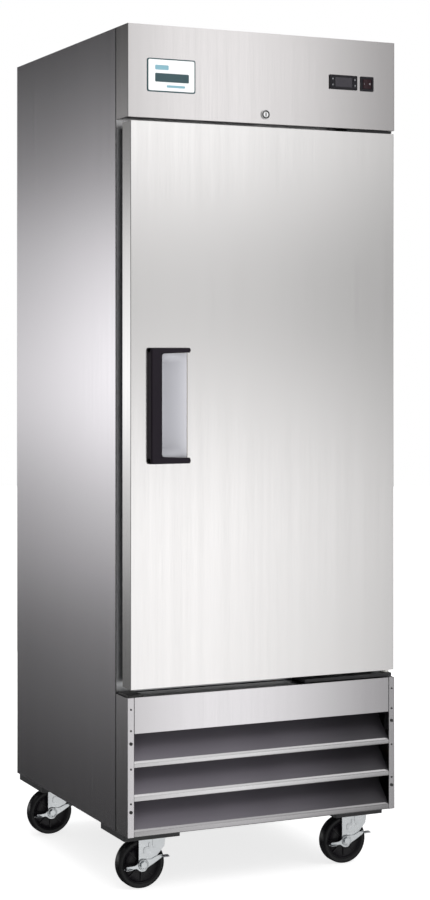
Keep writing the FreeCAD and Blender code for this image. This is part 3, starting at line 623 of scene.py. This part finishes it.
def louvre_blades():
    """Three folded blades: a bright rolled lip in front of a dark sheet. The lowest one also has a foot, and
    its lip is a darker copy of the lip steel, a painted shade.
    """
    x0 = STILE
    x1 = extent("grille_blades")[1]
    lowest = len(LIPS)
    for i, (low, high) in enumerate(LIPS, 1):
        form = bmesh.new()
        along_x(form, thick(blade_lip(low, high), SHEET), x0, x1)
        # The lowest lip gets the darker copy of the lip steel, a painted shade.
        bright = MATERIALS["foot_steel" if i == lowest else "level_steel"]
        piece(f"blade_lip_{i}", form, "cabinet", "outer_steel", bright, ["grille_blades"])
        form = bmesh.new()
        along_x(form, thick(blade_face(high), SHEET), x0 + 0.2, x1 - 0.2)
        piece(f"blade_face_{i}", form, "cabinet", "blade_steel", None, ["grille_blades"])
    low = LIPS[-1][0]
    form = bmesh.new()
    slab(form, x0, x1, 8.0, FOOT_BACK, low + 0.1, low + 0.1 + SHEET)
    piece("blade_foot", form, "cabinet", "blade_steel", None, ["grille_blades"], 0.2)


# ---------------------------------------------------------------- door

def door_seal():
    """Magnetic gasket: a ribbed bellows between its root in the door and the magnet strip on the cabinet."""
    x0, x1, y0, y1, z0, z1 = extent("door_gasket")
    wide = 22.0
    deep = y1 - y0
    outline = [
        (0.5, y0),
        (0.5, y0 + 2.0),
        (3.6, y0 + 0.18 * deep),
        (3.9, y0 + 0.26 * deep),
        (0.3, y0 + 0.40 * deep),
        (0.3, y0 + 0.46 * deep),
        (3.8, y0 + 0.58 * deep),
        (3.8, y0 + 0.64 * deep),
        (1.0, y0 + 0.74 * deep),
        (0.0, y0 + 0.80 * deep),
        (0.0, y1 - 1.2),
        (1.2, y1),
        (wide - 5.0, y1),
        (wide - 3.4, y1 - 1.2),
        (wide - 3.4, y0 + 0.76 * deep),
        (wide - 6.0, y0 + 0.62 * deep),
        (wide - 2.6, y0 + 0.46 * deep),
        (wide - 6.0, y0 + 0.28 * deep),
        (wide, y0 + 2.0),
        (wide, y0),
    ]
    form = bmesh.new()
    swept_frame(form, outline, x0, x1, z0, z1)
    piece("gasket_bellows", form, "door", "gasket_rubber", None, ["door_gasket"], 0.5, 40.0)


def pull():
    """Grip: an upright bar with a rounded front, tapering arms and a screw cover at each end."""
    x0, x1, y0, y1, z0, z1 = extent("door_handle")
    bar = 29.0
    top_arm = 14.0
    low_arm = 17.0
    flange = bent([
        (x0, z0), (x1, z0), (x1, z0 + low_arm - 3.5), (x0 + bar, z0 + low_arm),
        (x0 + bar, z1 - top_arm), (x1, z1 - top_arm + 2.5), (x1, z1), (x0, z1),
    ], 7.0, closed=True)
    form = bmesh.new()
    along_y(form, flange, y0 + 4.0, y0 + 9.0)
    piece("grip_flange", form, "door", "grip_plastic", None, ["door_handle"], 0.8)
    rim = 1.2
    inside = x0 + bar - 6.0
    crown = bent([
        (x0 + rim, z0 + rim), (x1 - rim, z0 + rim), (x1 - rim, z0 + low_arm - 5.0),
        (inside, z0 + low_arm - 1.5), (inside, z1 - top_arm + 1.5),
        (x1 - rim, z1 - top_arm + 4.0), (x1 - rim, z1 - rim), (x0 + rim, z1 - rim),
    ], 6.0, closed=True)
    form = bmesh.new()
    along_y(form, crown, y0, y0 + 4.5)
    piece("grip_crown", form, "door", "grip_plastic", None, ["door_handle"], 1.6)
    form = bmesh.new()
    slab(form, x0, x0 + 8.0, y0 + 8.0, y1, z0 + 1.0, z1 - 1.0)
    for low, high in ((z0, z0 + low_arm - 3.5), (z1 - top_arm + 2.5, z1)):
        slab(form, x0, x1, y0 + 8.0, y1, low, high)
    piece("grip_skirt", form, "door", "grip_plastic", None, ["door_handle"], 0.6)


def eased(t):
    """A smooth step from 0 at t = 0 to 1 at t = 1."""
    t = min(1.0, max(0.0, t))
    return t * t * (3.0 - 2.0 * t)


def cup():
    """Dished finger cup: a thin rim, and a floor that is deepest behind the grip."""
    x0, x1, y0, y1, z0, z1 = extent("handle_cup")
    x1 = x1 - 1.3
    face = -4.6
    deep = y1 - 1.2 - face
    rim = 1.5
    across = 36
    up = 60
    form = bmesh.new()
    front = []
    back = []
    for i in range(across + 1):
        x = x0 + (x1 - x0) * i / across
        for j in range(up + 1):
            z = z0 + (z1 - z0) * j / up
            right = eased((x1 - rim - x) / 58.0)
            left = eased((x - x0 - rim) / 10.0)
            ends = eased((z - z0 - rim) / 22.0) * eased((z1 - rim - z) / 22.0)
            front.append(form.verts.new(at(x, face + deep * right * left * ends, z)))
            back.append(form.verts.new(at(x, y1, z)))
    row = up + 1
    for i in range(across):
        for j in range(up):
            a = i * row + j
            form.faces.new((front[a], front[a + row], front[a + row + 1], front[a + 1]))
            form.faces.new((back[a], back[a + 1], back[a + row + 1], back[a + row]))
    edge = list(range(up)) + [i * row + up for i in range(across)]
    edge += [across * row + j for j in range(up, 0, -1)] + [i * row for i in range(across, 0, -1)]
    for k, a in enumerate(edge):
        b = edge[(k + 1) % len(edge)]
        form.faces.new((front[a], front[b], back[b], back[a]))
    piece("cup_basin", form, "door", "cup_plastic", None, ["handle_cup"], 0.0, 60.0)


# ---------------------------------------------------------------- header fittings

def blank_badge():
    """Blank plate: a slate rim round a pale field, with three plain bars and no lettering."""
    x0, x1, y0, y1, z0, z1 = extent("header_badge")
    form = bmesh.new()
    along_y(form, round_plate(x0, x1, z0, z1, 6.0), y0 + 0.6, y1)
    piece("badge_back", form, "cabinet", "badge_plate", MATERIALS["badge_slate"], ["header_badge"], 0.3)
    form = bmesh.new()
    along_y(form, round_plate(x0 + 3.0, x1 - 3.0, z0 + 3.0, z1 - 3.0, 4.0), y0 + 0.2, y0 + 1.0)
    piece("badge_field", form, "cabinet", "badge_plate", None, ["header_badge"], 0.2)
    wide = x1 - x0
    tall = z1 - z0
    bars = (
        ("upper", 0.16, 0.44, 0.66, 0.80, "badge_sky"),
        ("middle", 0.16, 0.86, 0.30, 0.56, "badge_slate"),
        ("lower", 0.40, 0.78, 0.14, 0.21, "badge_sky"),
    )
    for name, left, right, low, high, colour in bars:
        form = bmesh.new()
        shape = round_plate(x0 + left * wide, x0 + right * wide, z0 + low * tall, z0 + high * tall, 3.0)
        along_y(form, shape, y0, y0 + 0.5)
        piece("badge_bar_" + name, form, "cabinet", "badge_plate", MATERIALS[colour], ["header_badge"], 0.1)


def thermostat():
    """Raised rim, smoked window with a thin frame, and a pale mark on each key."""
    x0, x1, y0, y1, z0, z1 = extent("controller_case")
    rim = [(0.0, y0 + 0.4), (0.4, y0), (1.6, y0), (2.2, y0 + 0.5), (2.2, y0 + 1.2), (0.0, y0 + 1.2)]
    form = bmesh.new()
    swept_frame(form, rim, x0, x1, z0, z1)
    piece("controller_rim", form, "cabinet", "black_plastic", None, (), 0.2)
    wx0, wx1, wy0, wy1, wz0, wz1 = extent("controller_window")
    form = bmesh.new()
    swept_frame(form, [(0.0, wy0), (0.0, y0 - 0.1), (1.2, y0 - 0.1), (1.2, wy0)], wx0, wx1, wz0, wz1)
    piece("window_frame", form, "cabinet", "black_plastic", None, (), 0.15)
    size = 1.6
    for name in ("key_upper_left", "key_lower_left", "key_upper_right", "key_lower_right"):
        kx0, kx1, ky0, ky1, kz0, kz1 = extent(name)
        x = (kx0 + kx1) / 2
        z = (kz0 + kz1) / 2
        tip = size if "upper" in name else -size
        arrow = [(x - size, z - tip * 0.6), (x + size, z - tip * 0.6), (x, z + tip)]
        form = bmesh.new()
        along_y(form, arrow, ky0 - 0.05, ky0 + 0.2)
        piece(name + "_mark", form, name, "grey_keys", MATERIALS["pale_ink"])


def rocker_marks():
    """A dash and a ring printed on the two ends of the rocker."""
    low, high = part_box("rocker_paddle")
    faces = [p for p in frame["nodes"]["rocker_paddle"].data.polygons if p.normal.y < -0.9]
    right = max(faces, key=lambda p: p.center.x)
    left = min(faces, key=lambda p: p.center.x)
    up = Vector((0, 0, 1))
    half_height = 2.4
    lift = 0.08
    count = 24
    for name, polygon, half_width in (("dash", left, 0.35), ("ring", right, 1.9)):
        normal = polygon.normal
        centre = polygon.center.copy()
        centre.z = (low.z + high.z) / 2
        across = up.cross(normal).normalized()
        form = bmesh.new()
        outer = []
        inner = []
        for k in range(count):
            angle = 2 * math.pi * k / count
            way = across * math.cos(angle) * half_width + up * math.sin(angle) * half_height
            outer.append(form.verts.new(centre + (way + normal * lift) * MM))
            if name == "ring":
                inner.append(form.verts.new(centre + (way * 0.66 + normal * lift) * MM))
        if name == "dash":
            form.faces.new(outer)
        else:
            for k in range(count):
                m = (k + 1) % count
                form.faces.new((outer[k], outer[m], inner[m], inner[k]))
        piece("rocker_" + name, form, "rocker_paddle", "red_plastic", MATERIALS["pale_ink"])


def lock_face():
    """Rounded bezel, and dark pieces that are painted shade: a ring for the shadow in the gap between it and
    the plug, and on the plug a ring for the shade in its groove and a plate for the shade in its keyway.
    """
    bx0, bx1, face, by1, bz0, bz1 = extent("lock_housing")
    plug = extent("lock_barrel")[2]
    centre = ((bx0 + bx1) / 2, 0.0, bz1 - 12.0)
    # The dark pieces below are painted shadow in the lock's gap, groove and keyway.
    dark = MATERIALS["black_fasteners"]
    bezel = [
        (10.4, face + 0.4), (10.8, face - 0.2), (11.4, face - 0.2),
        (12.0, face + 1.0), (12.0, face + 2.8), (10.4, face + 2.8),
    ]
    gap = [(8.1, face + 0.2), (8.1, face - 0.1), (10.5, face - 0.1), (10.5, face + 0.2)]
    groove = [(6.6, plug - 0.1), (7.8, plug - 0.1), (7.8, plug + 0.4), (6.6, plug + 0.4)]
    for name, body, material, profile in (
        ("lock_bezel", "cabinet", None, bezel),
        ("lock_gap_shade", "cabinet", dark, gap),
        ("plug_groove_shade", "lock_barrel", dark, groove),
    ):
        form = bmesh.new()
        lathe(form, profile, centre)
        piece(name, form, body, "chrome", material)
    x, _, z = centre
    # A dark plate on the plug's face: painted shade of the keyway.
    form = bmesh.new()
    slab(form, x - 1.5, x + 1.5, plug - 0.05, plug + 0.4, z - 4.8, z + 4.8)
    piece("keyway_shade", form, "lock_barrel", "chrome", dark)


# ---------------------------------------------------------------- casters

HALF_CORE = 16.0     # from the middle of a wheel to the core's side
LEG_FACE = 22.0      # from the middle of a wheel to the outside of a fork leg
SPOKES = 8


def hub(side):
    """The middle of a caster's wheel, and its radius."""
    x0, x1, y0, y1, z0, z1 = extent("wheel_" + side)
    return ((x0 + x1) / 2, (y0 + y1) / 2, (z0 + z1) / 2), (z1 - z0) / 2


def mirrored(profile):
    """A profile of (radius, place along Y), followed by its mirror image."""
    return profile + [(r, -y) for r, y in profile[::-1]]


def spoke(form, centre, angle, sign):
    """One rib of a wheel's core, on its front (sign -1) or back."""
    turn = Matrix.Rotation(angle, 3, "Y")
    half = HALF_CORE
    outline = [(14.0, half - 4.0), (44.0, half - 6.2), (44.0, half - 9.0), (14.0, half - 9.0)]
    thickness = 2.6
    places = []
    for r, y in outline:
        local = turn @ Vector((r, 0.0, -thickness / 2))
        places.append(at(centre[0] + local.x, centre[1] + sign * y, centre[2] + local.z))
    prism(form, places, (turn @ Vector((0.0, 0.0, thickness))) * MM)


def caster_wheel(side):
    """Rubber tyre with rounded shoulders on a ribbed core."""
    body = "wheel_" + side
    centre, radius = hub(side)
    half = HALF_CORE
    tyre = mirrored([
        (47.2, -half + 3.0), (48.0, -half + 1.2), (50.0, -half + 0.4), (55.0, -half + 0.2),
        (58.0, -half + 1.2), (60.0, -half + 3.6), (radius - 0.15, -half + 7.0), (radius, -half + 12.0),
    ])
    form = bmesh.new()
    lathe(form, tyre, centre, 96)
    piece("tyre_" + side, form, body, "wheel_rubber", None, [body], 0.0, 50.0)
    dish = mirrored([
        (6.0, -half - 1.6), (12.0, -half - 1.6), (13.6, -half - 0.6), (15.0, -half + 3.0),
        (16.5, -half + 7.0), (21.0, -half + 8.6), (38.0, -half + 8.6), (43.0, -half + 6.5),
        (45.6, -half + 2.6), (47.3, -half + 2.0),
    ])
    form = bmesh.new()
    lathe(form, dish, centre, 96)
    for k in range(SPOKES):
        for sign in (-1, 1):
            spoke(form, centre, 2 * math.pi * k / SPOKES, sign)
    piece("core_" + side, form, body, "wheel_rubber", MATERIALS["wheel_core"], [body], 0.0, 35.0)


def fork_dressing(side):
    """A step-shaped rib and a short ridge pressed in each fork leg."""
    x, y, _ = hub(side)[0]
    rib = thick(bent([(x + 4.0, 88.0), (x + 4.0, 101.0), (x + 17.0, 101.0), (x + 17.0, 113.0)], 4.0), 4.4)
    ridge = thick(bent([(x + 27.0, 122.0), (x + 27.0, 105.0), (x + 32.0, 99.0)], 4.0), 5.0)
    form = bmesh.new()
    for shape, proud in ((rib, 1.3), (ridge, 0.9)):
        along_y(form, shape, y - LEG_FACE - proud, y - LEG_FACE + 0.5)
        along_y(form, shape, y + LEG_FACE - 0.5, y + LEG_FACE + proud)
    piece("fork_rib_" + side, form, "fork_" + side, "caster_zinc", None, (), 0.8)


def brake_lever(side):
    """Stamped lever with curled foot pads and a collar round the axle bolt."""
    body = "brake_" + side
    y0, back = extent(body)[2:4]
    front = back - 2.2
    axle_x, _, axle_z = hub(side)[0]
    arm = bent([
        (-44, -9), (-30, -10.5), (-17, -8), (-8, -17), (6, -17), (12, -8), (28, 0), (50, 13),
        (52, 21), (38, 19), (20, 11), (8, 13), (-8, 11), (-17, 0), (-32, -2), (-44, -1),
    ], 6.0, 4, closed=True)
    form = bmesh.new()
    along_y(form, [(axle_x + x, axle_z + z) for x, z in arm], front, back)
    piece("brake_arm_" + side, form, body, "caster_zinc", None, [body], 0.6)
    form = bmesh.new()
    for left, right, level in ((-50.0, -33.0, -6.2), (46.0, 64.0, 18.2)):
        curl = [(back - 0.6, level - 2.4), (back - 0.6, level), (y0 + 2.0, level), (y0 + 0.6, level - 2.0)]
        shape = [(y, axle_z + z) for y, z in thick(bent(curl, 2.0), 2.0)]
        along_x(form, shape, axle_x + left, axle_x + right)
    piece("brake_pads_" + side, form, body, "caster_zinc", None, [body], 0.5)
    collar = [
        (9.4, front + 0.2), (9.4, front - 1.2), (10.4, front - 1.8), (12.4, front - 1.8), (13.6, front - 0.8),
        (13.8, front + 0.2),
    ]
    form = bmesh.new()
    lathe(form, collar, (axle_x, 0.0, axle_z))
    piece("brake_collar_" + side, form, body, "caster_zinc", None, [body])


def casters():
    for side in SIDES:
        caster_wheel(side)
        fork_dressing(side)
        brake_lever(side)


# ---------------------------------------------------------------- studio

def world():
    """Soft panels round the object, as a sky of direction only, and white where the camera looks."""
    sky = bpy.data.worlds.new("studio")
    bpy.context.scene.world = sky
    sky.use_nodes = True
    n = Nodes(sky.node_tree)
    way = n.add("SeparateXYZ", {"Vector": n.add("TexCoord").outputs["Generated"]})
    x, y, z = way.outputs
    rise = n.math("DEGREES", n.math("ARCSINE", z))
    turn = n.math("DEGREES", n.math("ARCTAN2", x, n.math("MULTIPLY", y, -1.0)))
    front_rise = n.curve(rise, FRONT_PANEL)
    front_turn = n.curve(turn, FRONT_WIDTH)
    side_rise = n.curve(rise, SIDE_PANEL)
    side_turn = n.curve(n.math("ABSOLUTE", turn), SIDE_WIDTH)
    top = n.curve(rise, TOP_PANEL)
    front = n.math("MULTIPLY", front_rise, front_turn)
    side = n.math("MULTIPLY", side_rise, side_turn)
    total = n.math("ADD", n.math("ADD", front, side), top)
    seen = n.add("LightPath").outputs["Is Camera Ray"]
    lit = n.add("Background", {"Color": n.mix(seen, total, (1.0, 1.0, 1.0))})
    n.add("OutputWorld", {"Surface": lit.outputs["Background"]})


# Brightness of the studio's panels by height above the horizon and by bearing, both in degrees. Bearing 0
# is in front of the refrigerator, and it grows to the right.
FRONT_PANEL = (
    (-90.0, 0.7),
    (-14.0, 0.92),
    (-7.0, 1.0),
    (-4.6, 1.11),
    (-1.8, 0.80),
    (1.6, 0.40),
    (3.4, 0.58),
    (5.8, 1.08),
    (7.2, 1.18),
    (8.9, 1.0),
    (11.0, 0.92),
    (30.0, 0.55),
    (90.0, 0.35),
)
FRONT_WIDTH = (
    (-180.0, 0.0),
    (-120.0, 0.0),
    (-60.0, 0.1),
    (-15.0, 0.35),
    (6.0, 0.45),
    (17.5, 0.56),
    (22.4, 1.32),
    (25.2, 1.16),
    (28.5, 0.91),
    (31.2, 0.62),
    (33.5, 0.22),
    (60.0, 0.2),
    (180.0, 0.0),
)
SIDE_PANEL = (
    (-90.0, 0.03),
    (-13.0, 0.04),
    (-8.2, 0.15),
    (-4.9, 0.56),
    (-1.0, 1.24),
    (2.3, 0.90),
    (6.0, 0.24),
    (9.5, 0.04),
    (30.0, 0.03),
    (90.0, 0.03),
)
SIDE_WIDTH = (
    (0.0, 0.0),
    (90.0, 0.3),
    (120.0, 0.9),
    (150.0, 1.25),
    (156.0, 1.12),
    (163.0, 0.58),
    (180.0, 0.5),
)
TOP_PANEL = ((-90.0, 0.0), (20.0, 0.0), (60.0, 0.7), (90.0, 0.9))


def lamp(name, place, target, size, power):
    """A soft box. It doesn't show in the steel, which reflects the studio's own panels."""
    data = bpy.data.lights.new(name, "AREA")
    data.shape = "RECTANGLE"
    data.size, data.size_y = size
    data.energy = power
    light = bpy.data.objects.new(name, data)
    light.location = place
    aim = Vector(target) - Vector(place)
    light.rotation_euler = aim.to_track_quat("-Z", "Y").to_euler()
    light.visible_glossy = False
    bpy.context.scene.collection.objects.link(light)


def floor(material):
    mesh = bpy.data.meshes.new("floor")
    form = bmesh.new()
    bmesh.ops.create_circle(form, cap_ends=True, segments=96, radius=14.0)
    form.to_mesh(mesh)
    form.free()
    mesh.materials.append(material)
    plate = bpy.data.objects.new("floor", mesh)
    plate.visible_glossy = False
    bpy.context.scene.collection.objects.link(plate)


def pale_floor(n):
    """Pale near the refrigerator, and running out into the white of the backdrop."""
    cloud = n.noise(1.5, detail=3.0)
    place = n.add("TexCoord").outputs["Object"]
    far = n.add("VectorMath", {0: place}, operation="LENGTH").outputs["Value"]
    return {
        "Base Color": n.mix(cloud, (0.62, 0.62, 0.62), (0.65, 0.65, 0.65)),
        "Roughness": n.span(cloud, 0.75, 0.85),
        "Emission Color": (1.0, 1.0, 1.0, 1.0),
        "Emission Strength": n.span(far, 0.78, 1.1, 0.6, 2.2, smooth=True),
    }


def studio():
    world()
    lamp("key", (1.9, -2.6, 3.0), (0.0, 0.0, 0.9), (1.6, 1.6), 38.0)
    lamp("fill", (-3.0, -2.4, 2.2), (0.0, 0.0, 0.6), (2.0, 2.0), 9.0)
    lamp("over", (0.0, 0.0, 4.2), (0.0, 0.0, 0.0), (3.0, 3.0), 36.0)
    floor(finish("pale_floor", pale_floor))
    scene = bpy.context.scene
    scene.view_settings.view_transform = "Standard"


# ---------------------------------------------------------------- the scene

camera()
studio()
MATERIALS = finishes()
dress_nodes(MATERIALS)
for name, node in frame["nodes"].items():
    if name not in SHARP:
        soften(node, 0.0005)
louvre_blades()
door_seal()
pull()
cup()
blank_badge()
thermostat()
rocker_marks()
lock_face()
casters()
